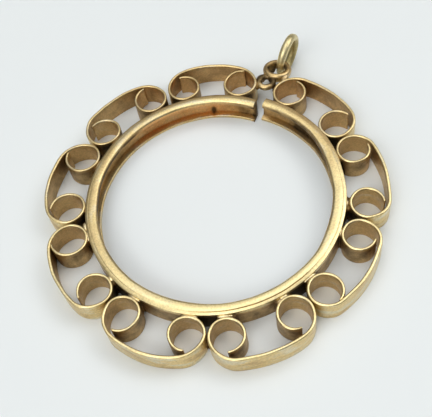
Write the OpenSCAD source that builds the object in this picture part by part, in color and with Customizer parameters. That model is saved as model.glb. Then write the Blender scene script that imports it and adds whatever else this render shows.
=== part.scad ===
// Scroll-edged coin mount pendant in 9 ct gold, empty, with its split bezel and bail ring.
// Millimetres. The mount lies on its back, front face up, with the bail towards +Y.
// The origin is on the coin's axis, in the plane of the back that the mount rests on.

/* [Coin seat] */
// Diameter of the coin that the seat takes
coin_d = 22.05; // [21.9:0.05:22.1]
// Thickness of that coin
coin_t = 1.52; // [1.4:0.02:1.6]
// Free play left round the coin and over it
coin_play = 0.08; // [0.02:0.02:0.1]

/* [Bezel] */
// Clear opening between the lips
opening_d = 21; // [20.4:0.1:21.4]
// Outside diameter of the channel wall
bezel_d = 23; // [22.9:0.05:23.05]
// Outside diameter of the raised front lip
front_lip_d = 22.66; // [22.5:0.02:22.7]
// Height of the channel from back to front
bezel_h = 2.4; // [2.35:0.05:2.6]
// Height of the shoulder outside the front lip
shoulder_z = 2.02; // [1.95:0.01:2.1]
// Thickness of the back lip
back_lip_t = 0.3; // [0.2:0.05:0.35]
// Width of the split in the channel
split_w = 0.65; // [0.3:0.05:0.8]

/* [Scrolls] */
// Number of scrolls round the bezel
scroll_count = 9; // [9:1:9]
// Angle between the two scrolls that flank the bail
top_gap = 46.6; // [46:0.1:47]
// Thickness of the flat strip at a scroll's shoulders
strip_t = 0.28; // [0.26:0.02:0.3]
// How much thicker the long arc is, and how much thinner the curls
strip_taper = 0.02; // [0.02:0.01:0.03]
// Width of the strip, which is the scrolls' height
strip_h = 2.25; // [2:0.05:2.3]
// Distance from the coin's axis to a scroll's furthest point
scroll_reach = 15.7; // [15.6:0.05:15.8]
// Outside diameter of a curl
curl_d = 3.18; // [3.14:0.01:3.2]
// Distance of a curl's centre from the middle line of its scroll
curl_side = 2.83; // [2.82:0.01:2.84]
// Distance of a curl's centre from the axis, along that line
curl_out = 12.9; // [12.88:0.01:12.92]
// Outside radius of the strip between a curl and the long arc
shoulder_r = 2.35; // [2.3:0.01:2.4]

/* [Loop and bail] */
// Outside diameter of the link ring between the top curls
link_d = 2; // [1.96:0.01:2.04]
// Wire of the link ring
link_wire = 0.55; // [0.5:0.01:0.6]
// Outside diameter of the suspension loop
loop_d = 2.74; // [2.7:0.01:2.78]
// Wire of the suspension loop
loop_wire = 0.6; // [0.56:0.01:0.62]
// How far the loop's outer side dips
loop_dip = 9; // [7:1:10]
// Outside diameter of the bail ring
bail_d = 4.24; // [4.2:0.01:4.28]
// Wire of the bail ring
bail_wire = 0.68; // [0.64:0.01:0.7]
// How far the bail ring is turned from the middle line
bail_turn = 6; // [4:1:8]

/* [Hidden] */
$fn = 96;

gold = "#d9b872";
bail_gold = "#d2c17c";

seat_r = coin_d / 2 + coin_play / 2;
seat_h = coin_t + coin_play;
hollow_depth = 0.15;
hollow_r = (pow(seat_h / 2, 2) + pow(hollow_depth, 2)) / (2 * hollow_depth);
edge_break = 0.06;
lip_slope_w = 0.24;
lip_slope_h = 0.1;
lip_edge_h = 0.2;

// The split and the loop sit a little to the right of the middle line
split_shift = 0.25;
split_angle = 2 * asin(split_w / bezel_d);
split_start = 90 - asin(2 * split_shift / bezel_d) + split_angle / 2;

scroll_pitch = (360 - top_gap) / (scroll_count - 1);
curl_r = curl_d / 2;
// Each thinner length of strip starts this far inside the thicker one, in degrees
tuck = 2;
// One row per scroll, clockwise from the bail: where its left and right strip ends stop,
// in degrees past the outward direction of their curl, and how far the arc is pressed in
left_end = 0;
right_end = 1;
pressed_in = 2;
scroll_rows = [
    [16, 6, 0],
    [17, 6, 0.35],
    [15, 11, 0.4],
    [3, 15, 0],
    [15, 7, 0],
    [2, 18, 0.1],
    [11, 15, 0],
    [20, 13, 0],
    [20, 18, 0]
];

// Outline of a scroll whose arc is pressed in. The long arc has its centre on the middle
// line, and it touches both shoulders and the furthest point
function shoulder_rad(pressed) = shoulder_r - pressed;
function shoulder_x(pressed) = curl_side + curl_r - shoulder_rad(pressed);
function arc_rad(pressed) = (pow(shoulder_x(pressed), 2) + pow(scroll_reach - pressed - curl_out, 2)
    - pow(shoulder_rad(pressed), 2)) / (2 * (scroll_reach - curl_out - shoulder_r));
function arc_y(pressed) = scroll_reach - pressed - arc_rad(pressed);
function arc_half(pressed) = atan2(shoulder_x(pressed), curl_out - arc_y(pressed));

// Polar place of a curl's centre, and of the touch between two scrolls
curl_polar_r = norm([curl_side, curl_out]);
curl_polar_a = atan2(curl_side, curl_out);
touch_polar_r = curl_polar_r * cos(scroll_pitch / 2 - curl_polar_a);

// Solder pad between a curl and the bezel
pad_w = 1.3;
pad_z = 0.25;
pad_h = 1.75;
pad_out = 11.8;
pad_bite = 0.2;
// Solder seam between two neighbouring curls
seam_d = 0.4;
seam_z = 0.3;
seam_h = 1.6;

top_clear = 0.02;
link_y = 13.4;
link_z = strip_h - link_wire / 2 - top_clear;
loop_x = 0.2;
loop_y = 15.6;
loop_z = strip_h - loop_wire / 2 + top_clear;
// Solder bridge from the loop to the right-hand scroll
bridge_z = 1.72;
bridge_h = 0.42;
bridge_w = 0.8;
bridge_l = 0.95;
bridge_turn = 45;

bail_x = 0.52;
bail_y = 17.62;

// Cross-section of the channel: back lip, hollow seat wall, shoulder and domed front lip
module bezel_profile() {
    in_r = opening_d / 2;
    out_r = bezel_d / 2;
    lip_r = front_lip_d / 2;
    difference() {
        polygon([
            [in_r + edge_break, 0],
            [out_r - edge_break, 0],
            [out_r, edge_break],
            [out_r, shoulder_z - edge_break],
            [out_r - edge_break, shoulder_z],
            [lip_r, shoulder_z],
            [lip_r, bezel_h - lip_slope_h],
            [lip_r - lip_slope_h, bezel_h],
            [in_r + lip_slope_w, bezel_h],
            [in_r + edge_break, bezel_h - lip_slope_h],
            [in_r, bezel_h - lip_edge_h],
            [in_r, edge_break]
        ]);
        translate([0, back_lip_t])
            square([seat_r, seat_h]);
        intersection() {
            translate([seat_r + hollow_depth - hollow_r, back_lip_t + seat_h / 2])
                circle(r = hollow_r);
            translate([0, back_lip_t])
                square([bezel_d, seat_h]);
        }
    }
}

// Channel bent into a ring, open at the split
module bezel() {
    rotate([0, 0, split_start])
        rotate_extrude(angle = 360 - split_angle)
            bezel_profile();
}

// Strip on edge, bent between two angles to an arc whose middle line has radius r.
// Where the strip is thicker it also stands a little higher
module strip_arc(r, thickness, from, to) {
    rotate([0, 0, from])
        rotate_extrude(angle = to - from)
            translate([r - thickness / 2, 0])
                square([thickness, strip_h + thickness - strip_t]);
}

// Right end of a scroll: the shoulder, and a curl that stops at end_angle
module scroll_end(end_angle, pressed) {
    translate([shoulder_x(pressed), curl_out])
        strip_arc(shoulder_rad(pressed) - strip_t / 2, strip_t, 0, 90 - arc_half(pressed) + tuck);
    translate([curl_side, curl_out])
        strip_arc(curl_r - strip_t / 2, strip_t - strip_taper, -270 - end_angle, tuck);
}

// Solder that joins the curl at polar angle a to the bezel
module solder_pad(a) {
    rotate([0, 0, -a])
        translate([-pad_w / 2, bezel_d / 2 - pad_bite, pad_z])
            cube([pad_w, pad_out - bezel_d / 2 + pad_bite, pad_h]);
}

// One scroll with its two solder pads, its middle line on +Y
module scroll(row) {
    pressed = row[pressed_in];
    half = arc_half(pressed);
    translate([0, arc_y(pressed)])
        strip_arc(arc_rad(pressed) - strip_t / 2, strip_t + strip_taper, 90 - half, 90 + half);
    mirror([1, 0, 0])
        scroll_end(row[left_end], pressed);
    scroll_end(row[right_end], pressed);
    solder_pad(-curl_polar_a);
    solder_pad(curl_polar_a);
}

// Solder seam where two neighbouring curls touch
module solder_seam() {
    translate([0, touch_polar_r, seam_z])
        cylinder(d = seam_d, h = seam_h);
}

module scrolls() {
    for (i = [0 : scroll_count - 1])
        rotate([0, 0, -top_gap / 2 - i * scroll_pitch])
            scroll(scroll_rows[i]);
    for (i = [1 : scroll_count - 1])
        rotate([0, 0, -top_gap / 2 - (i - 0.5) * scroll_pitch])
            solder_seam();
}

module wire_ring(outside_d, wire) {
    rotate_extrude()
        translate([(outside_d - wire) / 2, 0])
            rotate(180)
                circle(d = wire, $fn = 48);
}

// Small ring that joins the two top curls
module link_ring() {
    translate([0, link_y, link_z])
        wire_ring(link_d, link_wire);
}

// Loop that the bail ring hangs in, with its solder bridge to the right-hand scroll
module suspension_loop() {
    translate([loop_x, loop_y, loop_z])
        rotate([-loop_dip, 0, 0])
            wire_ring(loop_d, loop_wire);
    translate([loop_x, loop_y, bridge_z])
        rotate([0, 0, -bridge_turn])
            translate([loop_d / 2 - loop_wire / 2, -bridge_w / 2, 0])
                cube([bridge_l, bridge_w, bridge_h]);
}

// Everything that is soldered together
module scroll_mount() {
    color(gold) {
        bezel();
        scrolls();
        link_ring();
        suspension_loop();
    }
}

// Free ring that passes through the loop and stands on its edge beside it
module bail_ring() {
    color(bail_gold)
        translate([bail_x, bail_y, bail_d / 2])
            rotate([0, 0, -bail_turn])
                rotate([0, 90, 0])
                    wire_ring(bail_d, bail_wire);
}

scroll_mount();
bail_ring();
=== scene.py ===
# Scroll-edged coin mount pendant in worn 9 ct gold, lying empty on a pale table.
import bpy
import numpy as np
from mathutils import Matrix, Vector


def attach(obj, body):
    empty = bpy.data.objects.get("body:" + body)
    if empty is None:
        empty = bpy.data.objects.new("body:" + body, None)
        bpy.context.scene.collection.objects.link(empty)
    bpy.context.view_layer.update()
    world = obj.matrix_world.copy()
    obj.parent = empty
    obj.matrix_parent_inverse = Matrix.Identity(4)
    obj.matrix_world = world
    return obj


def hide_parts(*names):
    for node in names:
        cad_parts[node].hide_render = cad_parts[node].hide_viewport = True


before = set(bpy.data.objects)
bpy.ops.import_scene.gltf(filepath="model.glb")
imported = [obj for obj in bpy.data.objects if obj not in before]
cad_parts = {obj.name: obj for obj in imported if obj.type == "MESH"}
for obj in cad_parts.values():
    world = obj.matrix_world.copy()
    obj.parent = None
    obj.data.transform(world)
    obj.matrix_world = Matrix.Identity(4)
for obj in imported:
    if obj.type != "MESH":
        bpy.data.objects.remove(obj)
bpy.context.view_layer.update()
print("frame loaded:", ", ".join(sorted(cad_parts)))

mm = 0.001                                   # sizes are in millimetres until a mesh is made of them

# Places round the mount are degrees clockwise from the bail, where the border of scrolls leaves a gap.
scrollCount = 9
bailGap = 46.6
firstDeg = bailGap / 2
pitchDeg = (360 - bailGap) / (scrollCount - 1)


# Small tools

def wobble(t, seed, size, waves):
    # Hand-made unevenness: a sum of four sines with seeded phases, about `waves` bumps per unit of t.
    dice = np.random.default_rng(seed)
    rates = waves * np.array([0.45, 0.8, 1.3, 2.1])
    phases = dice.uniform(0, 2 * np.pi, 4)
    weights = np.array([0.5, 0.4, 0.3, 0.15])
    t = np.asarray(t, float)[..., None]
    return size * (weights * np.sin(2 * np.pi * rates * t + phases)).sum(-1)


def smooth(t, low, high):
    # 0 below low, 1 above high, an s-curve between.
    x = np.clip((np.asarray(t, float) - low) / (high - low), 0, 1)
    return x * x * (3 - 2 * x)


def window(t, start, full, fade, end):
    # 0 up to start, 1 from full to fade, 0 again from end, s-curves between.
    return smooth(t, start, full) * (1 - smooth(t, fade, end))


def hump(t, middle, width):
    # A bell of height 1: e to the power of minus the square of (t - middle) / width.
    return np.exp(-((t - middle) / width) ** 2)


def clockwise(x, y, deg):
    # A point turned clockwise about the mount's axis: x cos a + y sin a, y cos a - x sin a.
    a = np.radians(deg)
    return x * np.cos(a) + y * np.sin(a), y * np.cos(a) - x * np.sin(a)


def bearing(x, y):
    # Degrees clockwise from the bail, -180 to 180.
    return np.degrees(np.arctan2(x, y))


def runLength(line):
    # Distance along a line of points, from its first one.
    return np.append(0, np.cumsum(np.linalg.norm(np.diff(line, axis=0), axis=1)))


def roundedOutline(corners, steps=5, longest=0.14):
    # Closed outline from rows of (x, y, corner radius): each corner becomes an arc that touches both sides,
    # and no stretch between two points is longer than `longest`.
    rows = np.array(corners, float)
    arcs = []
    for i, (x, y, radius) in enumerate(rows):
        corner = np.array([x, y])
        toLast = rows[i - 1, :2] - corner
        toNext = rows[(i + 1) % len(rows), :2] - corner
        toLast = toLast / np.linalg.norm(toLast)
        toNext = toNext / np.linalg.norm(toNext)
        half = np.arccos(np.clip(toLast @ toNext, -1, 1)) / 2
        if radius <= 0 or half > np.radians(89):
            arcs.append(corner[None])
            continue
        middle = corner + (toLast + toNext) / np.linalg.norm(toLast + toNext) * radius / np.sin(half)
        start = corner + toLast * radius / np.tan(half) - middle
        end = corner + toNext * radius / np.tan(half) - middle
        turn = np.arctan2(start[0] * end[1] - start[1] * end[0], start @ end)
        a = np.arctan2(start[1], start[0]) + turn * np.linspace(0, 1, steps)
        arcs.append(middle + radius * np.stack([np.cos(a), np.sin(a)], 1))
    line = np.vstack(arcs)
    following = np.roll(line, -1, 0)
    counts = np.maximum(np.ceil(np.linalg.norm(following - line, axis=1) / longest).astype(int), 1)
    return np.vstack([p + (q - p) * (np.arange(n) / n)[:, None] for p, q, n in zip(line, following, counts)])


# Meshes

def sheetFaces(rows, cols, closeRows=False, closeCols=False):
    # Quads of a grid of points numbered row by row, wrapped round where it closes.
    r = np.arange(rows if closeRows else rows - 1)
    c = np.arange(cols if closeCols else cols - 1)
    a, b = np.meshgrid(r, c, indexing="ij")
    nextA = (a + 1) % rows
    nextB = (b + 1) % cols
    quads = [a * cols + b, nextA * cols + b, nextA * cols + nextB, a * cols + nextB]
    return np.stack(quads, -1).reshape(-1, 4)


def addPiece(name, points, faces, uv, marks):
    # A mesh object from points in millimetres, with a UV map and one number per point for each mark.
    mesh = bpy.data.meshes.new(name)
    mesh.from_pydata((points * mm).tolist(), [], faces)
    corner = np.empty(len(mesh.loops), np.int32)
    mesh.loops.foreach_get("vertex_index", corner)
    layer = mesh.uv_layers.new(name="UVMap")
    layer.data.foreach_set("uv", np.asarray(uv, np.float32)[corner].ravel())
    for key, values in marks.items():
        mark = mesh.attributes.new(key, "FLOAT", "POINT")
        mark.data.foreach_set("value", np.asarray(values, np.float32).ravel())
    mesh.polygons.foreach_set("use_smooth", np.ones(len(mesh.polygons), bool))
    mesh.set_sharp_from_angle(angle=np.radians(35))
    mesh.validate()
    piece = bpy.data.objects.new(name, mesh)
    bpy.context.scene.collection.objects.link(piece)
    return piece


def addSwept(name, points, along, outline, marks):
    # A piece from an outline carried along a path, one row of points for each section. Both ends are capped,
    # and the UV map is in millimetres: u along the path, v around the outline.
    rows, cols = points.shape[:2]
    faces = sheetFaces(rows, cols, closeCols=True)[:, ::-1].tolist()
    faces.append(list(range(cols - 1, -1, -1)))
    faces.append(list(range((rows - 1) * cols, rows * cols)))
    uv = np.stack(np.broadcast_arrays(along[:, None], runLength(outline)[None]), -1)
    return addPiece(name, points.reshape(-1, 3), faces, uv.reshape(-1, 2), marks)


def joined(parts):
    # Several skins of points and faces as one: the points stacked, and the faces renumbered to match.
    starts = np.cumsum([0] + [len(part[0]) for part in parts]).tolist()
    faces = [[start + k for k in face] for start, part in zip(starts, parts) for face in part[1]]
    return np.vstack([part[0] for part in parts]), faces


def blob(at, size, turn, seed, rows=18, cols=28):
    # A lump of solder: a unit sphere with one point at each pole, its radius changed by a few soft waves,
    # stretched to the half sizes and turned about the vertical.
    lat = np.linspace(-np.pi / 2, np.pi / 2, rows)[1:-1, None]
    lon = np.linspace(0, 2 * np.pi, cols, endpoint=False)[None]
    body = np.stack([np.cos(lat) * np.cos(lon), np.cos(lat) * np.sin(lon), np.sin(lat) + 0 * lon], -1)
    unit = np.vstack([[0, 0, -1], body.reshape(-1, 3), [0, 0, 1]])
    unit = unit * (1 + wobble(unit @ [0.7, 0.4, 0.6], seed, 0.09, 0.6))[:, None]
    top = len(unit) - 1
    faces = (sheetFaces(rows - 2, cols, closeCols=True)[:, ::-1] + 1).tolist()
    faces += [[0, 1 + (k + 1) % cols, 1 + k] for k in range(cols)]
    faces += [[top, top - cols + k, top - cols + (k + 1) % cols] for k in range(cols)]
    x, y, z = (unit * size).T
    x, y = clockwise(x, y, -turn)
    return np.stack([x, y, z], 1) + np.array(at), faces


# Where the film is dark, where shade and sheen are painted, and where the metal is rubbed

# Narrow wells between two neighbouring curls and the bezel, filled with painted shade: they reach out to
# where the curls touch
wells = dict(inner=12.9, outer=13.7, halfDeg=7.5, clearZ=1.95, topZ=2.2)


def wellShade(points):
    # Painted shade in the wells: how deep a point sits in a well, 1 in its middle, 0 outside it. The bail's
    # gap has one at each side.
    x, y, z = points[..., 0], points[..., 1], points[..., 2]
    seams = firstDeg + (np.arange(scrollCount + 1) - 0.5) * pitchDeg
    away = np.abs((bearing(x, y)[..., None] - seams + 180) % 360 - 180).min(-1)
    inside = 1 - smooth(np.hypot(x, y), wells["inner"], wells["outer"])
    return np.exp(-(away / wells["halfDeg"]) ** 4) * inside * (1 - smooth(z, wells["clearZ"], wells["topZ"]))


def nearSheen(points):
    # Painted sheen on the rubbed top edges: 1 at the front right, towards the camera, 0.4 at the far left.
    return 0.4 + 0.6 * smooth(0.55 * points[..., 0] - 0.83 * points[..., 1], -13, 5)


# Bezel

bezel = dict(
    openingR=10.5, wallR=11.5,               # clear opening, and the channel's outer wall
    lipTop=2.4, flatFrom=10.72, flatTo=11.15,    # the front lip's broad top
    crown=0.018, innerDrop=0.22,             # it is higher in its middle and rolls down to the opening
    lipR=11.215, outerDrop=0.07,             # and drops more shortly to its outer side
    grooveZ=2.29, shoulder=2.26,             # fine groove at the lip's foot, and the shoulder's outer edge
    lipUnder=1.9, backLip=0.3,               # the coin's seat lies between these heights
    seatR=11.065, hollow=0.14,               # wall of the seat, and how far it is hollowed
    splitFrom=-1.2, splitTo=2.87,            # the split's left and right side, in degrees
    bentIn=0.25, bentInDeg=27,               # the left end is bent in, over this many degrees
    sprungOut=0.19, sprungDeg=(34, 58),      # the right end stands out, and comes back between these
    pressedIn=[(0.1, (150, 175, 245, 268)),  # the lip's inner edge is pressed in: how far, and where
               (0.19, (28, 48, 88, 105))],
    grooveOpen=(108, 122, 158, 172),         # the groove is open at the front right, and elsewhere it is
    grooveShutZ=2.33,                        # burnished shut up to this height
    slantDeg=1.1,                            # the right end's foot stands this much nearer to the split
    bow=(0.012, 9), ripple=(0.008, 38),      # unevenness of the radius and of its lip: size, waves a turn
    heave=(0.004, 14),                       # and of the height, as a share of it
    stations=520,                            # sections round the ring
)

bezelFilmAndShade = dict(
    wall=0.42, leftHalf=0.04,                # inside the channel, and a little more on the left
    farRightShade=0.6, farLeft=0.2,               # more at its sides, painted shade on the right,
    leftUpper=0.45, byTheSplit=0.38,         # under the lip on the left, and by the split
    nick=0.8, nickAt=(336.7, 0.6),           # a dark spot on the far wall: degrees and height
    nickSize=(1.1, 0.4),
    ends=0.9, outerWall=0.8, wells=0.6,      # the cut ends, the wall outside, and painted shade in its wells
    # painted shade on the lip's top and along its far outer edge, and how dark the open groove is
    lipTop=0.13, lipEdgeShade=0.46, groove=0.7,
    # where it starts, is full, fades and ends: left of the bail, and for the last two right of it
    leftWall=(52, 80, 150, 180), lipShadeLeft=(40, 75, 135, 165),
    lipShadeRight=(8, 30, 48, 62), farEdgeShade=(-78, -45, 25, 60),
)


def bezelShift(deg):
    # How far the channel stands off a true circle: a parabola at its left end, an s-curve at its right one.
    b = bezel
    left = -b["bentIn"] * np.clip((deg + b["bentInDeg"]) / b["bentInDeg"], 0, 1) ** 2 * (deg < 0)
    right = b["sprungOut"] * (1 - smooth(deg, *b["sprungDeg"])) * (deg > 0)
    return left + right


def bezelOutline():
    # Points (radius, height): under the back lip, up the wall, over the shoulder, down into the groove, over
    # the lip and down the seat. The lip is a parabola between two quarter ellipses, the seat a parabola too.
    b = bezel
    r = np.linspace(b["flatFrom"], b["flatTo"], 6)
    across = (r - b["flatFrom"]) / (b["flatTo"] - b["flatFrom"])
    flat = b["lipTop"] - b["crown"] * (2 * across - 1) ** 2
    a = np.linspace(0, np.pi / 2, 6)[1:]
    innerR = b["flatFrom"] - (b["flatFrom"] - b["openingR"]) * np.sin(a)
    innerZ = flat[0] - b["innerDrop"] * (1 - np.cos(a))
    outerR = b["flatTo"] + (b["lipR"] - b["flatTo"]) * np.sin(a)
    outerZ = flat[-1] - b["outerDrop"] * (1 - np.cos(a))
    lip = zip([*outerR[::-1], *r[::-1], *innerR], [*outerZ[::-1], *flat[::-1], *innerZ])
    seatZ = np.linspace(b["lipUnder"] - 0.02, b["backLip"] + 0.05, 9)
    middle = (b["lipUnder"] + b["backLip"]) / 2
    seat = b["seatR"] + b["hollow"] * (1 - ((seatZ - middle) / (b["lipUnder"] - middle)) ** 2)
    return roundedOutline([
        (b["openingR"] + 0.02, 0, 0.05),
        (b["wallR"], 0, 0.05),
        (b["wallR"], b["shoulder"], 0.05),
        (b["lipR"] + 0.05, b["grooveZ"] + 0.03, 0.03),
        (b["lipR"] + 0.015, b["grooveZ"], 0.015),
        *[(x, z, 0) for x, z in lip],
        (b["openingR"] + 0.01, b["lipUnder"], 0.05),
        *[(x, z, 0) for x, z in zip(seat, seatZ)],
        (b["openingR"] + 0.02, b["backLip"], 0.06),
    ])


def bezelMarks(points, outline, deg, signed):
    # Film, wear, painted shade and painted sheen from each point's place on the outline, (r, z), and round
    # the ring, in degrees.
    f = bezelFilmAndShade
    r, z = outline[:, 0], outline[:, 1]
    inChannel = np.where(z < bezel["lipUnder"] + 0.06, r < bezel["wallR"] - 0.1, r < 10.8)
    inChannel = inChannel * (1 - smooth(z, 2.16, 2.34))
    # inside the channel: thinnest at the far left, thicker to both sides and towards the split; the extra on
    # the right side is painted shade
    right = (signed > 0) * (0.45 + 0.55 * smooth(signed, 3, 26)) * (1 - smooth(signed, 120, 180))
    left = window(-signed, *f["leftWall"])
    byTheSplit = (signed < 0) * (1 - smooth(-signed, 2, 30))
    wall = f["wall"] + f["leftHalf"] * (signed < 0) + f["farRightShade"] * right + f["farLeft"] * left
    channel = (wall + f["byTheSplit"] * byTheSplit)[:, None] * inChannel
    # the back lip's top is rubbed towards the opening
    rubbed = np.where(z < 0.4, 0.9 - 0.9 * smooth(r, 10.55, 11.1), 0)
    channel = channel * (1 - np.where(signed < 0, 1 - 0.1 * left, 0.8)[:, None] * rubbed)
    channel = channel + f["leftUpper"] * left[:, None] * inChannel * smooth(z, 0.8, 1.6)
    warm = ((signed < 0) * (1 - left) * (1 - byTheSplit))[:, None] * inChannel
    nick = hump(deg, f["nickAt"][0], f["nickSize"][0])[:, None] * hump(z, f["nickAt"][1], f["nickSize"][1])
    ends = (hump(deg, deg[-1], 1.3) + 0.25 * hump(deg, deg[0], 0.9))[:, None] * (1 - smooth(z, 1.8, 2.2))
    outerWall = (r > bezel["wallR"] - 0.02) * (1 - smooth(z, 1.75, 2.0))
    # the lip: painted shade on its left, at the far right and along its far outer edge, dark in the open
    # groove
    lipShade = (window(-signed, *f["lipShadeLeft"]) + window(signed, *f["lipShadeRight"]))[:, None] * (z > 2.2)
    lipEdgeShade = window(signed, *f["farEdgeShade"])[:, None] * smooth(r, 10.95, 11.2) * (z > 2.15)
    groove = hump(r, bezel["lipR"] + 0.01, 0.02) * (np.abs(z - bezel["grooveZ"] - 0.06) < 0.1)
    groove = window(signed, *bezel["grooveOpen"])[:, None] * groove
    tarnishAndShade = channel + f["nick"] * nick * inChannel + f["ends"] * ends + f["outerWall"] * outerWall
    tarnishAndShade = tarnishAndShade + f["lipTop"] * lipShade + f["lipEdgeShade"] * lipEdgeShade + f["groove"] * groove
    # painted shade in the wells, on the wall outside
    tarnishAndShade = tarnishAndShade + f["wells"] * wellShade(points) * (r > 11.4)
    # the lip's top is rubbed pale, with painted sheen strongest at the front right
    worn = smooth(z, 2.0, 2.1)[None] * nearSheen(points) * (1 - 0.5 * lipEdgeShade) * (1 - 0.4 * lipShade)
    return {"tarnishAndShade": np.clip(tarnishAndShade, 0, 1.4), "worn": worn, "warm": warm}


def makeBezel():
    # The outline in (radius, height) carried round the axis: x = R sin a, y = R cos a, with R = the outline's
    # radius + the shift of the sprung ends + a slow unevenness - what the lip is pressed in.
    b = bezel
    outline = bezelOutline()
    r, z = outline[:, 0], outline[:, 1]
    deg = np.linspace(b["splitTo"], 360 + b["splitFrom"], b["stations"])
    signed = np.where(deg > 180, deg - 360, deg)
    share = deg / 360
    high = smooth(z, 0.2, 2.2)[None]
    radius = r[None] + (bezelShift(signed) + wobble(share, 3, *b["bow"]))[:, None]
    radius = radius + high * wobble(share, 4, *b["ripple"])[:, None]
    pressed = sum(depth * window(deg, *where) for depth, where in b["pressedIn"])
    radius = radius - pressed[:, None] * (np.clip((10.9 - r) / 0.4, 0, 1) * (z > b["lipUnder"] - 0.1))
    height = z[None] * (1 + (wobble(share, 5, *b["heave"]) - 0.006)[:, None] * high)
    grooveOpen = window(deg, *b["grooveOpen"])[:, None]
    shut = height * grooveOpen + b["grooveShutZ"] * (1 - grooveOpen)
    inGroove = ((np.abs(r - b["lipR"] - 0.02) < 0.035) & (z > 2.2))[None]
    height = np.where(inGroove, np.maximum(height, shut), height)
    slant = b["slantDeg"] * np.exp(-(deg - deg[0]) / 1.5)[:, None] * (1 - smooth(z, 0.9, 2.0))
    turn = np.radians(deg[:, None] - slant)
    points = np.stack([radius * np.sin(turn), radius * np.cos(turn), height], -1)
    marks = bezelMarks(points, outline, deg, signed)
    return addSwept("bezel", points, np.radians(deg) * b["wallR"], outline, marks)


# Scrolls

scroll = dict(
    stripT=0.28, arcT=0.3, curlT=0.26,       # thickness of the strip at the shoulders, arc and curls
    stripH=2.25,                             # its width, which is the scroll's height
    side=2.83, out=12.9,                     # a curl's centre, across and along its scroll's middle line
    curlR=1.59, shoulderR=2.35,              # outer radius of a curl and of a shoulder
    reach=15.585,                            # from the mount's axis to a scroll's furthest point
    edgeR=0.115,                             # the strip's upper edges are worn almost round
    taper=0.22, taperRun=1.2,                # how much thinner its ends are, and over what length
    bluntRun=0.1,                            # its ends are rounded off over this length
    sway=(0.03, 5), waver=(0.012, 9),        # unevenness at its top, and all over: size, waves in waveRun
    heave=(0.005, 7), waveRun=25,            # and of its height, as a share
    dents=(0.006, 2), dentRun=3,             # small dents: depth, number in dentRun
    step=0.09,                               # spacing of the sections
)

scrollFilmAndShade = dict(
    # faces that look into their own bend: less of it in the curls, more low down, a line of painted shade
    # under the curls' top edge, and less at the mount's right
    inside=0.6, curlLess=0.16, foot=0.06, underEdgeShade=0.2, rightLess=0.25,
    # the other faces: bare on the arc, brown on the curls, less so low down
    outside=0.04, outsideCurl=0.74, footLess=0.08,
    wells=0.5, farTopShade=0.3,                   # painted shade in the wells, and along the top away from the front right
    warm=0.3,                                # how warm it is at the far side, but not on the right
)

# One row per scroll, clockwise from the bail. A curl is (shift across, shift out, radius change, degrees that
# its end runs past the outward direction, how far the end is pulled in). pressed is the arc's flattening.
scrollRows = [
    dict(left=(0.13, 0.05, 0.0, 16, -0.03), right=(0.0, -0.04, 0.0, 6, -0.12), pressed=0.0),
    dict(left=(0.04, -0.03, 0.0, 17, 0.13), right=(0.07, 0.07, 0.0, 6, 0.09), pressed=0.34),
    dict(left=(-0.04, -0.03, 0.0, 15, 0.16), right=(0.14, -0.08, -0.07, 11, -0.1), pressed=0.4),
    dict(left=(0.0, 0.04, 0.0, 3, 0.07), right=(0.0, 0.08, 0.0, 15, 0.09), pressed=0.0),
    dict(left=(0.04, -0.12, 0.0, 15, 0.06), right=(0.02, 0.0, 0.0, 7, -0.11), pressed=0.0),
    dict(left=(-0.03, 0.02, 0.01, 2, 0.05), right=(-0.05, -0.08, 0.02, 18, -0.17), pressed=0.1),
    dict(left=(-0.05, -0.08, 0.02, 11, -0.1), right=(-0.05, 0.08, 0.03, 15, -0.12), pressed=0.012),
    dict(left=(0.0, 0.05, 0.03, 20, 0.15), right=(-0.06, -0.04, 0.0, 13, -0.11), pressed=0.02),
    dict(left=(-0.09, -0.04, 0.0, 20, 0.1), right=(-0.09, -0.17, 0.0, 18, -0.14), pressed=0.06),
]


def bend(centre, radius, fromDeg, toDeg, fewest=2):
    # Points on an arc: centre + radius * (sin a, cos a), about one step apart.
    count = max(int(radius * np.radians(toDeg - fromDeg) / scroll["step"]), fewest)
    a = np.radians(np.linspace(fromDeg, toDeg, count))
    return np.stack([centre[0] + radius * np.sin(a), centre[1] + radius * np.cos(a)], 1)


def halfScroll(curl, pressed):
    # Middle line of a scroll's right half, from the furthest point to the free end: a long arc centred on
    # the line x = 0, a shoulder arc and a curl, each starting in the direction in which the last one ends.
    # With it go the strip's thickness and, from 0 to 1, how far into the curl each section lies.
    s = scroll
    across, outward, wider, past, pulledIn = curl
    curlX = s["side"] + across
    curlY = s["out"] + outward
    curlR = s["curlR"] + wider
    half = s["stripT"] / 2
    shoulderR = s["shoulderR"] - pressed + wider
    shoulderX = curlX + curlR - shoulderR
    rise = s["reach"] - pressed - curlY
    arcR = (shoulderX ** 2 + rise ** 2 - shoulderR ** 2) / (2 * (rise - shoulderR))
    arcY = s["reach"] - pressed - arcR
    lean = np.degrees(np.arctan2(shoulderX, curlY - arcY))
    arc = bend((0, arcY), arcR - half, 0, lean, fewest=6)
    shoulder = bend((shoulderX, curlY), shoulderR - half, lean, 90)
    a = np.linspace(0, 270 + past, int((curlR - half) * np.radians(270 + past) / s["step"]))
    # an end that is pulled in starts to leave its circle earlier than one that springs out
    pull = pulledIn * smooth(a, 120 if pulledIn > 0 else 190, 270 + past)
    r = curlR - half - pull
    ring = np.stack([curlX + r * np.cos(np.radians(a)), curlY - r * np.sin(np.radians(a))], 1)
    line = np.vstack([arc, shoulder[1:], ring[1:]])
    lengths = [len(arc), len(shoulder) - 1, len(ring) - 1]
    thick = np.repeat([s["arcT"], s["stripT"], s["curlT"]], lengths)
    inCurl = np.concatenate([np.zeros(lengths[0] + lengths[1]), smooth(np.radians(a[1:]), 0.2, 1.2)])
    return line, thick, inCurl


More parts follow.
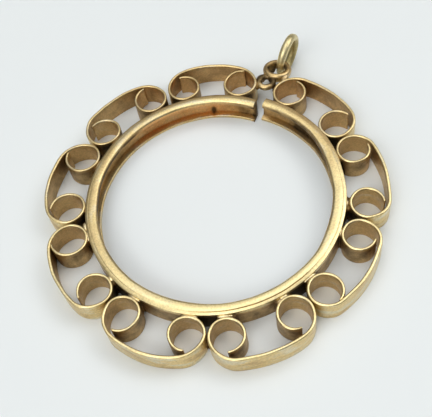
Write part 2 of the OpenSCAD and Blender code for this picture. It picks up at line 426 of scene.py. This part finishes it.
def scrollMarks(points, outline, inCurl):
    # Film, wear and painted light: brown where a face looks into its own bend and inside the curls, painted
    # shade in the wells and under the top edge, and rubbed along the top with painted sheen.
    f = scrollFilmAndShade
    inCurl = inCurl[:, None]
    x, y = points[..., 0], points[..., 1]
    across, z = outline[None, :, 0], outline[None, :, 1]
    top = scroll["stripH"]
    low = 1 - smooth(z, 0.2, 1.6)
    inward = smooth(-across, 0.0, 0.1)
    below = 1 - smooth(z, top - 0.16, top - 0.04)
    # a line of painted shade under the top edge, inside the curls
    underEdgeShade = f["underEdgeShade"] * hump(z, top - 0.22, 0.09)
    inside = f["inside"] - f["curlLess"] * inCurl + underEdgeShade * inCurl + f["foot"] * low
    inside = inside * (1 - f["rightLess"] * smooth(x, 6, 11))
    outside = f["outside"] + (f["outsideCurl"] - f["footLess"] * low) * inCurl
    tarnishAndShade = inward * inside + (1 - inward) * outside
    # painted shade in the wells, on the curls' outer faces
    tarnishAndShade = (tarnishAndShade + f["wells"] * wellShade(points) * inCurl * (1 - inward)) * below
    # painted sheen on the top edges towards the front right, and painted shade along the far top
    rubbed = nearSheen(points)
    tarnishAndShade = tarnishAndShade + f["farTopShade"] * (1 - rubbed) * (1 - below)
    warm = f["warm"] * smooth(y, 3, 11) * (1 - smooth(x, 4, 10)) * inward
    return {"tarnishAndShade": np.clip(tarnishAndShade, 0, 1), "worn": smooth(z, top - 0.1, top) * rubbed, "warm": warm}


def makeScroll(i):
    # The strip's outline (across, height) carried along its middle line: point = line + across * normal, at
    # the height, then turned to the scroll's place. The strip sways, tapers at its ends and has small dents.
    s = scroll
    row = scrollRows[i]
    right, thickR, curlR = halfScroll(row["right"], row["pressed"])
    left, thickL, curlL = halfScroll(row["left"], row["pressed"])
    line = np.vstack([(left * [-1, 1])[::-1], right[1:]])
    thick = np.concatenate([thickL[::-1], thickR[1:]])
    inCurl = np.concatenate([curlL[::-1], curlR[1:]])
    run = runLength(line)
    kernel = np.hanning(15)                                  # evens out the steps in thickness
    thick = np.convolve(np.pad(thick, 7, mode="edge"), kernel / kernel.sum(), "valid")
    tangent = np.gradient(line, axis=0)
    tangent /= np.linalg.norm(tangent, axis=1)[:, None]
    normal = np.stack([-tangent[:, 1], tangent[:, 0]], 1)    # points to the outside of the scroll
    halfT = s["stripT"] / 2
    edge = s["edgeR"]
    outline = roundedOutline([(-halfT, 0, 0.05), (halfT, 0, 0.05), (halfT, s["stripH"], edge),
                              (-halfT, s["stripH"], edge)], steps=7, longest=0.3)
    across, z = outline[None, :, 0], outline[None, :, 1]
    fromEnd = np.minimum(run, run[-1] - run)
    blunt = np.sqrt(np.clip(1 - np.clip(1 - fromEnd / s["bluntRun"], 0, 1) ** 2, 0.12, 1))[:, None]
    thin = 1 - s["taper"] * (1 - smooth(fromEnd, 0.0, s["taperRun"]))
    waves = run / s["waveRun"]
    height = z * (1 + wobble(waves, 20 + i, *s["heave"]) - 0.006)[:, None]
    height = height - (z - s["stripH"] / 2) * 0.03 * (1 - blunt)
    sway = wobble(waves, 40 + i, *s["sway"])[:, None] * z / s["stripH"]
    sway = sway + wobble(waves, 60 + i, *s["waver"])[:, None]
    dents = wobble(run[:, None] / s["dentRun"] + z * 0.31, 80 + i, *s["dents"]) * (np.abs(across) > 0.1)
    place = across * (thick * thin / s["stripT"])[:, None] * blunt + (sway + dents) * blunt
    flat = line[:, None] + place[..., None] * normal[:, None]
    x, y = clockwise(flat[..., 0], flat[..., 1], firstDeg + i * pitchDeg)
    points = np.stack([x, y, np.maximum(height, 0)], -1)
    # 40 mm further along the pattern for each scroll, so that no two are marked alike
    return addSwept(f"scroll_{i + 1}", points, run + 40 * i, outline, scrollMarks(points, outline, inCurl))


# Solder between the curls and the bezel

solder = dict(
    # from a curl to the bezel: its foot, half width and top, and how far the top sags
    low=0.2, half=(0.6, 0.95), top=(1.93, 2.12), sag=0.12,
    # a lump on it: half sizes, height, and how far it is turned either way
    lump=[(0.35, 0.7), (0.17, 0.26), (0.14, 0.22)], lumpZ=1.96, lumpTurn=6,
    spareLump=dict(at=(-9.62, -6.5, 1.93), size=(0.5, 0.24, 0.2), turn=124, seed=77),
    # from a curl to its neighbour. The last two scrolls stand apart, with light between them
    seamLow=0.25, seamHalf=(0.28, 0.45), seamTop=(1.3, 1.8), seamSag=0.2, seamCount=scrollCount - 2,
    bite=0.05,                               # how deep all of it reaches into the walls
)


def blockSkin(n):
    # Points of a unit cube's skin on an n by n grid per side, with shared edges, and its quads.
    t = np.linspace(0, 1, n)
    a, b = [x.ravel() for x in np.meshgrid(t, t, indexing="ij")]
    zero = np.zeros_like(a)
    one = np.ones_like(a)
    sides = [(a, b, zero), (b, a, one), (b, zero, a), (a, one, b), (zero, a, b), (one, b, a)]
    points = np.vstack([np.stack(side, 1) for side in sides])
    faces = np.vstack([sheetFaces(n, n) + k * n * n for k in range(6)])
    keys = np.round(points * (n - 1)).astype(int)
    first, where = np.unique(keys, axis=0, return_index=True, return_inverse=True)[1:]
    return points[first], where.ravel()[faces]


def curlPlace(i, side):
    # Centre and outer radius of a curl in the whole mount, side -1 for the left one and 1 for the right one.
    across, outward, wider = scrollRows[i]["right" if side > 0 else "left"][:3]
    place = clockwise(side * (scroll["side"] + across), scroll["out"] + outward, firstDeg + i * pitchDeg)
    return np.array(place), scroll["curlR"] + wider


def fillet(centreA, radiusA, centreB, radiusB, half, low, high, sag, seed):
    # Solder drawn in between two upright round walls: u runs across the gap from wall A to wall B, v along it
    # and h up. Between the walls the ends are pulled in, and the top sags.
    skin, faces = blockSkin(9)
    u, v, h = skin[:, 0], skin[:, 1] * 2 - 1, skin[:, 2]
    between = 4 * u * (1 - u)
    gap = np.linalg.norm(centreB - centreA)
    axis = (centreB - centreA) / gap
    sideways = np.array([axis[1], -axis[0]])
    width = half * (1 + wobble(h + v, seed, 0.12, 0.7)) * (1.12 - 0.12 * h)
    s = v * width * (1 - 0.3 * between)
    nearA = np.sqrt(radiusA ** 2 - s ** 2) - solder["bite"]
    nearB = gap - np.sqrt(radiusB ** 2 - s ** 2) + solder["bite"]
    n = nearA + (nearB - nearA) * u
    top = high - sag * between - 0.25 * np.abs(v) ** 3 + wobble(v, seed + 1, 0.03, 0.6)
    flat = centreA + n[:, None] * axis + s[:, None] * sideways
    return np.column_stack([flat, low + (top - low) * h]), faces.tolist()


def makeSolder():
    # Fillets, seams and lumps, with sizes thrown by seeded dice.
    s = solder
    dice = np.random.default_rng(11)
    curls = [curlPlace(i, side) for i in range(scrollCount) for side in (-1, 1)]
    walls = [float(bezel["wallR"] + bezelShift(bearing(*centre))) for centre, radius in curls]
    fillets = []
    for (centre, radius), wall in zip(curls, walls):
        half = dice.uniform(*s["half"])
        top = dice.uniform(*s["top"])
        seed = int(dice.integers(1000))
        fillets.append(fillet(np.zeros(2), wall, centre, radius, half, s["low"], top, s["sag"], seed))
    lumps = []
    for (centre, radius), wall in zip(curls, walls):
        at = centre / np.linalg.norm(centre) * (wall + 0.04)
        size = [dice.uniform(*span) for span in s["lump"]]
        turn = dice.uniform(-s["lumpTurn"], s["lumpTurn"]) - bearing(*centre)
        lumps.append(blob((*at, s["lumpZ"]), size, turn, int(dice.integers(1000)), 12, 20))
    lumps.append(blob(**s["spareLump"], rows=12, cols=20))
    seams = []
    for i in range(s["seamCount"]):
        half = dice.uniform(*s["seamHalf"])
        top = dice.uniform(*s["seamTop"])
        seed = int(dice.integers(1000))
        places = (*curlPlace(i, 1), *curlPlace(i + 1, -1))
        seams.append(fillet(*places, half, s["seamLow"], top, s["seamSag"], seed))
    points, faces = joined(fillets + seams + lumps)
    # the joints on the bail's side are browner than the ones away from it
    farSide = smooth(points[:, 1], -3, 6)
    film = 0.85 * (1 - smooth(points[:, 2], 1.5, 1.95)) + 0.4 * farSide
    worn = smooth(points[:, 2], 1.8, 2.1) * (1 - 0.8 * farSide)
    marks = {"tarnishAndShade": np.clip(film, 0, 1), "worn": worn}
    return addPiece("solder_fillets", points, faces, points[:, :2], marks)


# Link ring, suspension loop and bail ring

# What a ring has if its own row doesn't say so. Of its turns the last one comes first.
plainRing = dict(
    wide=1, worn=0,                          # the wire's width over its thickness, and how far it is worn
    deep=1, shallow=0, deepLeft=0,           # its lower half's depth, less and more of it, in half wires
    uneven=0.02,                             # the share by which it is thinner on average
    turns=[],
    film=0, inside=0, shade=0,               # all over, more inside it, and painted shade on its far lower half
    bare=(0, 0, 0),                          # how much less on one side, as a painted highlight, and the x and y of that side
)

# d is the outer diameter
rings = dict(
    link=dict(name="link_ring", d=1.95, wire=0.6, at=(-0.24, 13.82, 1.94), seed=31,
              film=1.0, inside=0.2, bare=(0.72, 0.0, -1.0)),
    loop=dict(name="suspension_loop", d=2.74, wire=0.6, at=(0.26, 15.6, 1.97), turns=[("X", -9)], seed=32,
              deep=0.65 / 0.3, shallow=0.22 / 0.3, deepLeft=0.8 / 0.3,       # its solder, in half wires
              film=0.66, inside=0.3, bare=(0.36, 0.4, -0.9)),
    bail=dict(name="bail_ring", d=4.24, wire=0.68, wide=0.84 / 0.68, worn=0.16, at=(0.6, 17.6, 2.112),
              turns=[("Z", -4), ("Y", 95.5)], seed=33, shade=0.3),
)


def torus(ring, around=120, section=28):
    # A wire bent to a ring: x = (r + w cos v) cos u, y = (r + w cos v) sin u, z = w sin v * wide, with r the
    # centre line's radius and w half the wire. Below the centre line z is stretched by the ring's depth too.
    u = np.linspace(0, 2 * np.pi, around, endpoint=False)[:, None]
    v = np.linspace(0, 2 * np.pi, section, endpoint=False)[None]
    half = ring["wire"] / 2
    w = half * (1 - ring["uneven"] + ring["uneven"] * np.sin(2 * u + ring["seed"]) * np.cos(3 * u))
    r = ring["d"] / 2 - half
    x = (r + w * np.cos(v)) * np.cos(u)
    y = (r + w * np.cos(v)) * np.sin(u)
    # the bail is worn narrower where it rubs on the loop
    tall = ring["wide"] * (1 - ring["worn"] * np.clip(-np.sin(u), 0, 1) ** 4)
    # the loop's solder hangs lowest on its left, and is thin on its far side, where the bail rides
    left = np.clip(np.cos(u - np.radians(150)), 0, 1) ** 2 * smooth(np.degrees(u), 106, 128)
    low = ring["deep"] - ring["shallow"] * np.clip(np.sin(u), 0, 1) ** 2 + ring["deepLeft"] * left
    z = w * np.sin(v) * np.where(np.sin(v) < 0, low, 1) * tall
    uv = np.stack(np.broadcast_arrays(u * r, v * half), -1).reshape(-1, 2)
    faces = sheetFaces(around, section, True, True).tolist()
    return np.stack([x, y, z], -1).reshape(-1, 3), faces, uv


def makeRing(key):
    # The wire ring turned and set in its place. Its film is thicker inside the ring, thinner towards its bare
    # side as a painted highlight, and painted shade darkens a standing ring's far foot.
    ring = {**plainRing, **rings[key]}
    points, faces, uv = torus(ring)
    turn = Matrix.Identity(3)
    for axis, degrees in ring["turns"]:
        turn = turn @ Matrix.Rotation(np.radians(degrees), 3, axis)
    points = points @ np.array(turn).T + np.array(ring["at"])
    away = (points - points.mean(0)) / (ring["d"] / 2)
    less, towardsX, towardsY = ring["bare"]
    film = ring["film"] + ring["inside"] * smooth(-np.cos(uv[:, 1] / (ring["wire"] / 2)), 0.1, 0.8)
    film = film - less * smooth(away @ [towardsX, towardsY, 0], 0.1, 0.8)
    film = np.clip(film + ring["shade"] * smooth(away @ [0, 0.7, -0.7], -0.1, 0.6), 0, 1)
    worn = 0.5 * np.clip(1 - 2 * film, 0, 1)
    return addPiece(ring["name"], points, faces, uv, {"tarnishAndShade": film, "worn": worn})


# Lumps of solder round the rings, with half sizes: from the loop to the right-hand scroll, at the link ring's
# two sides, from the link ring up to the loop, between the left curl and the loop, and under the link ring
bridges = [
    dict(at=(1.22, 14.98, 1.92), size=(0.42, 0.72, 0.32), turn=8, seed=41, film=0.3),
    dict(at=(-0.92, 13.35, 1.78), size=(0.28, 0.5, 0.36), turn=8, seed=42, film=0.6),
    # near-black film here is painted shade between the loop and the right-hand curl
    dict(at=(0.84, 13.4, 1.78), size=(0.2, 0.45, 0.34), turn=-8, seed=43, film=0.95),
    dict(at=(0.2, 14.36, 1.8), size=(0.42, 0.34, 0.32), turn=10, seed=44, film=1.0),
    dict(at=(-0.92, 14.3, 1.68), size=(0.38, 0.55, 0.42), turn=-24, seed=45, film=0.86),
    # near-black film here is painted shade right of the link ring's hole
    dict(at=(0.4, 13.8, 1.7), size=(0.34, 0.4, 0.3), turn=0, seed=46, film=0.95),
]


def makeBridges():
    # The lumps above as one piece, each with its own film all over.
    parts = [blob(b["at"], b["size"], b["turn"], b["seed"]) for b in bridges]
    points, faces = joined(parts)
    film = np.repeat([b["film"] for b in bridges], [len(part[0]) for part in parts])
    return addPiece("loop_solder", points, faces, points[:, :2], {"tarnishAndShade": film, "worn": 0.6 * (1 - film)})


# Materials

# Three finishes of 9 ct gold. gold is the bare metal, pale its rubbed edges and their painted sheen, grey its
# silvery patches of painted sheen, stain its stains and brown its thin film and the painted shade in it.
# shift moves the pattern, so that no two finishes are marked alike.
golds = dict(
    mount=dict(name="satin_9ct_gold", gold="#e4cb8f", pale="#f2dea6", grey="#e2dcc6", stain="#b39064",
               brown="#caab78", roughness=0.33, lineDepth=0.3, shift=0.0),
    solder=dict(name="solder_9ct_gold", gold="#e2cc9a", pale="#f0e0b6", grey="#e2dac2", stain="#c0a070",
                brown="#9a7a4c", roughness=0.36, lineDepth=0.15, shift=5.0),
    wire=dict(name="polished_9ct_gold_wire", gold="#e4d29a", pale="#ebdaa8", grey="#d6cca8", stain="#bfac78",
              brown="#8a7a48", roughness=0.42, lineDepth=0.1, shift=9.0),
)
filmWarm = "#d9a468"                         # thin film with light thrown back from the metal beside it
filmThickAndShade = "#2a1f13"                        # old film that hides the metal, and the darkest painted shade


def linear(code):
    # sRGB hex to linear light.
    c = np.array([int(code[k:k + 2], 16) for k in (1, 3, 5)]) / 255
    return (*np.where(c <= 0.04045, c / 12.92, ((c + 0.055) / 1.055) ** 2.4), 1.0)


def addNode(tree, kind, settings=None, **inputs):
    # One node: settings are its properties. inputs are its sockets, by name or, as _6, by number, and each is
    # a value or another node's output.
    node = tree.nodes.new(kind)
    for key, value in (settings or {}).items():
        setattr(node, key, value)
    for key, value in inputs.items():
        socket = node.inputs[int(key[1:])] if key[0] == "_" else node.inputs[key.replace("_", " ")]
        if isinstance(value, bpy.types.NodeSocket):
            tree.links.new(value, socket)
        else:
            socket.default_value = value
    return node


def goldMaterial(name, gold, pale, grey, stain, brown, roughness, lineDepth, shift):
    # 9 ct gold, finished by hand and long worn. To the eye, fine lines along the metal soften its shine, its
    # edges are rubbed pale with painted sheen, silvery patches of painted sheen and stains break up the
    # colour, and corners keep a brown film that also carries painted shade.
    material = bpy.data.materials.new(name)
    material.use_nodes = True
    tree = material.node_tree
    tree.nodes.clear()
    mix = dict(data_type="RGBA")
    times = dict(operation="MULTIPLY")
    uv = addNode(tree, "ShaderNodeUVMap", dict(uv_map="UVMap")).outputs["UV"]
    place = addNode(tree, "ShaderNodeTexCoord").outputs["Object"]
    tarnishAndShade = addNode(tree, "ShaderNodeAttribute", dict(attribute_name="tarnishAndShade")).outputs["Fac"]
    worn = addNode(tree, "ShaderNodeAttribute", dict(attribute_name="worn")).outputs["Fac"]
    warm = addNode(tree, "ShaderNodeAttribute", dict(attribute_name="warm")).outputs["Fac"]

    # polishing lines 0.125 mm apart and about 3 mm long, drawn coarser than real ones so that they show
    lineUv = addNode(tree, "ShaderNodeMapping", Vector=uv, Scale=(0.35, 1 / 0.125, 1.0),
                     Location=(shift, shift, 0))
    lines = addNode(tree, "ShaderNodeTexNoise", Vector=lineUv.outputs[0], Scale=1.0, Detail=3.0,
                    Roughness=0.6).outputs["Fac"]
    # the film lies in soft clouds of about 1.5 mm, with dings of 0.35 mm, pits of 0.3 mm and, drawn coarser
    # than real ones, scratches and dirt of 0.17 mm
    cloud = addNode(tree, "ShaderNodeTexNoise", Vector=place, Scale=1 / (1.5 * mm), Detail=4.0,
                    Roughness=0.55).outputs["Fac"]
    dings = addNode(tree, "ShaderNodeTexNoise", Vector=place, Scale=1 / (0.35 * mm), Detail=2.0,
                    Roughness=0.5).outputs["Fac"]
    pits = addNode(tree, "ShaderNodeTexNoise", Vector=place, Scale=1 / (0.3 * mm), Detail=3.0,
                   Roughness=0.7).outputs["Fac"]
    grain = addNode(tree, "ShaderNodeTexNoise", Vector=place, Scale=1 / (0.17 * mm), Detail=2.0,
                    Roughness=0.6).outputs["Fac"]
    # silvery patches about 2 mm long, painted sheen that stands in for reflections, and brown stains between
    # them
    patchUv = addNode(tree, "ShaderNodeMapping", Vector=uv, Scale=(0.4, 1.2, 1.0),
                      Location=(3.0 + shift, 7.0, 0))
    patches = addNode(tree, "ShaderNodeTexNoise", Vector=patchUv.outputs[0], Scale=1.0, Detail=5.0,
                      Roughness=0.62).outputs["Fac"]

    # bare metal, from its gold to silvery painted sheen, stained and pitted
    silvery = addNode(tree, "ShaderNodeMapRange", Value=patches, From_Min=0.5, From_Max=0.62,
                      To_Min=0.0, To_Max=0.8).outputs[0]
    stained = addNode(tree, "ShaderNodeMapRange", Value=patches, From_Min=0.47, From_Max=0.36,
                      To_Min=0.0, To_Max=0.6).outputs[0]
    pitted = addNode(tree, "ShaderNodeMapRange", Value=pits, From_Min=0.58, From_Max=0.72,
                     To_Min=0.0, To_Max=0.5).outputs[0]
    colour = addNode(tree, "ShaderNodeMix", mix, Factor=silvery, _6=linear(gold), _7=linear(grey)).outputs[2]
    colour = addNode(tree, "ShaderNodeMix", mix, Factor=stained, _6=colour, _7=linear(stain)).outputs[2]
    colour = addNode(tree, "ShaderNodeMix", mix, Factor=pitted, _6=colour, _7=linear(brown)).outputs[2]
    # worn places are pale, less so where the clouds are dark; the worn mark carries painted sheen as well
    clear = addNode(tree, "ShaderNodeMapRange", Value=cloud, From_Min=0.38, From_Max=0.62,
                    To_Min=0.66, To_Max=1.0).outputs[0]
    rubbed = addNode(tree, "ShaderNodeMath", times, _0=worn, _1=clear).outputs[0]
    colour = addNode(tree, "ShaderNodeMix", mix, Factor=rubbed, _6=colour, _7=linear(pale)).outputs[2]
    # the film and painted shade first tint the metal, then hide it
    patchy = addNode(tree, "ShaderNodeMapRange", Value=cloud, From_Min=0.37, From_Max=0.63,
                     To_Min=0.74, To_Max=1.16).outputs[0]
    film = addNode(tree, "ShaderNodeMath", dict(times, use_clamp=True), _0=tarnishAndShade, _1=patchy).outputs[0]
    thin = addNode(tree, "ShaderNodeMapRange", Value=film, From_Min=0.0, From_Max=0.5).outputs[0]
    thick = addNode(tree, "ShaderNodeMapRange", Value=film, From_Min=0.55, From_Max=1.1).outputs[0]
    tint = addNode(tree, "ShaderNodeMix", mix, Factor=warm, _6=linear(brown), _7=linear(filmWarm)).outputs[2]
    colour = addNode(tree, "ShaderNodeMix", mix, Factor=thin, _6=colour, _7=tint).outputs[2]
    colour = addNode(tree, "ShaderNodeMix", mix, Factor=thick, _6=colour, _7=linear(filmThickAndShade)).outputs[2]
    speckle = addNode(tree, "ShaderNodeMapRange", Value=grain, From_Min=0.3, From_Max=0.7,
                      To_Min=0.84, To_Max=1.14).outputs[0]
    colour = addNode(tree, "ShaderNodeVectorMath", dict(operation="SCALE"), _0=colour,
                     Scale=speckle).outputs[0]

    # the lines and the film roughen it, the lines and the dings stand in the bump
    lined = addNode(tree, "ShaderNodeMapRange", Value=lines, From_Min=0.3, From_Max=0.7,
                    To_Min=roughness - 0.07, To_Max=roughness + 0.08).outputs[0]
    rough = addNode(tree, "ShaderNodeMath", dict(operation="MULTIPLY_ADD", use_clamp=True), _0=film, _1=0.18,
                    _2=lined).outputs[0]
    fine = addNode(tree, "ShaderNodeBump", Strength=lineDepth, Distance=0.02 * mm, Height=lines).outputs[0]
    bump = addNode(tree, "ShaderNodeBump", Strength=0.35, Distance=0.03 * mm, Height=dings,
                   Normal=fine).outputs[0]
    shader = addNode(tree, "ShaderNodeBsdfPrincipled", Base_Color=colour, Metallic=1.0, Roughness=rough,
                     Normal=bump)
    addNode(tree, "ShaderNodeOutputMaterial", Surface=shader.outputs["BSDF"])
    return material


# Table, camera and light

stageSet = dict(
    card="#edf1f1", cardRoughness=0.6,
    halfFloor=4.0,                           # metres, wide enough for a low view
    lookAt=(0.327, -0.624, 1.1),             # millimetres, as the distance is
    azimuth=32.49, elevation=56.8, distance=67.03, roll=-12.11, lens=63.21,
)


def towards(azimuth, elevation):
    # The direction of an azimuth, 0 at the front and 90 towards +X, and an elevation above the table.
    a, e = np.radians(azimuth), np.radians(elevation)
    return np.sin(a) * np.cos(e), -np.cos(a) * np.cos(e), np.sin(e)


def makeStage():
    # A camera that looks at one point and is rolled about its line of sight, and a flat floor of white card.
    s = stageSet
    back = Vector(towards(s["azimuth"], s["elevation"]))
    roll = Matrix.Rotation(np.radians(s["roll"]), 4, "Z").to_quaternion()
    camera = bpy.data.objects.new("camera", bpy.data.cameras.new("camera"))
    camera.data.lens = s["lens"]
    camera.data.sensor_width = 36                            # millimetres, as the lens
    camera.data.clip_start = 0.001
    camera.data.clip_end = 10
    camera.location = Vector(s["lookAt"]) * mm + back * s["distance"] * mm
    camera.rotation_mode = "QUATERNION"
    camera.rotation_quaternion = (-back).to_track_quat("-Z", "Y") @ roll
    bpy.context.scene.collection.objects.link(camera)
    bpy.context.scene.camera = camera
    n = s["halfFloor"]
    mesh = bpy.data.meshes.new("floor")
    mesh.from_pydata([(-n, -n, 0), (n, -n, 0), (n, n, 0), (-n, n, 0)], [], [(0, 1, 2, 3)])
    floor = bpy.data.objects.new("floor", mesh)
    bpy.context.scene.collection.objects.link(floor)
    card = bpy.data.materials.new("matt_white_card")         # pale and even, with no shine
    card.use_nodes = True
    shader = card.node_tree.nodes["Principled BSDF"]
    shader.inputs["Base Color"].default_value = linear(s["card"])
    shader.inputs["Roughness"].default_value = s["cardRoughness"]
    mesh.materials.append(card)


lights = dict(
    sky="#f6f7f7", skyStrength=0.1,          # colour of all of it, and strength of its darkest part
    horizon=0.78, horizonTop=0.07,           # a pale band where the floor ends: strength and height
    tight=40.0,                              # how fast a patch fades out from its middle
    # diffusers, seen as soft patches of light: azimuth, elevation and strength
    patches=[(2, 46, 5.2), (332, 46, 2.8), (122, 46, 4.2), (152, 46, 2.5), (212, 46, 0.8),
             (176, 62, 2.5), (248, 62, 1.6), (10, 78, 2.7), (235, 78, 1.8), (345, 22, 1.6)],
)


def makeLight():
    # Overhead and side diffusers as one wide sky: strength = skyStrength + the sum, over the patches, of
    # their strength * max(0, direction . patch) ^ tight + the band, which fades out upwards.
    world = bpy.data.worlds.new("studio_diffusers")
    bpy.context.scene.world = world
    world.use_nodes = True
    tree = world.node_tree
    tree.nodes.clear()
    way = addNode(tree, "ShaderNodeTexCoord").outputs["Generated"]
    total = lights["skyStrength"]
    for azimuth, elevation, strength in lights["patches"]:
        dot = addNode(tree, "ShaderNodeVectorMath", dict(operation="DOT_PRODUCT"), _0=way,
                      _1=towards(azimuth, elevation)).outputs["Value"]
        facing = addNode(tree, "ShaderNodeMath", dict(operation="MAXIMUM"), _0=dot, _1=0.0).outputs[0]
        lobe = addNode(tree, "ShaderNodeMath", dict(operation="POWER"), _0=facing,
                       _1=lights["tight"]).outputs[0]
        total = addNode(tree, "ShaderNodeMath", dict(operation="MULTIPLY_ADD"), _0=lobe, _1=strength,
                        _2=total).outputs[0]
    height = addNode(tree, "ShaderNodeSeparateXYZ", Vector=way).outputs["Z"]
    band = addNode(tree, "ShaderNodeMapRange", dict(interpolation_type="SMOOTHSTEP"), Value=height,
                   From_Max=lights["horizonTop"], To_Min=lights["horizon"], To_Max=0.0).outputs[0]
    total = addNode(tree, "ShaderNodeMath", dict(operation="ADD"), _0=total, _1=band).outputs[0]
    background = addNode(tree, "ShaderNodeBackground", Color=linear(lights["sky"]), Strength=total)
    addNode(tree, "ShaderNodeOutputWorld", Surface=background.outputs["Background"])


# Build

makeStage()
makeLight()
bpy.context.scene.view_settings.view_transform = "Standard"
print("table, camera and light set")

mountPieces = [makeBezel()]
print("bezel made")
mountPieces += [makeScroll(i) for i in range(scrollCount)]
print("scrolls made:", scrollCount)
mountPieces += [makeRing("link"), makeRing("loop")]
solderPieces = [makeSolder(), makeBridges()]
bailPieces = [makeRing("bail")]
print("rings and solder made")

for pieces, finish, node, slot in ((mountPieces, "mount", "scroll_mount", "mount_gold"),
                                   (solderPieces, "solder", "scroll_mount", "mount_gold"),
                                   (bailPieces, "wire", "bail_ring", "bail_gold")):
    material = goldMaterial(**golds[finish])
    for piece in pieces:
        piece.data.materials.append(material)
        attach(piece, "root")
        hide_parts(node)
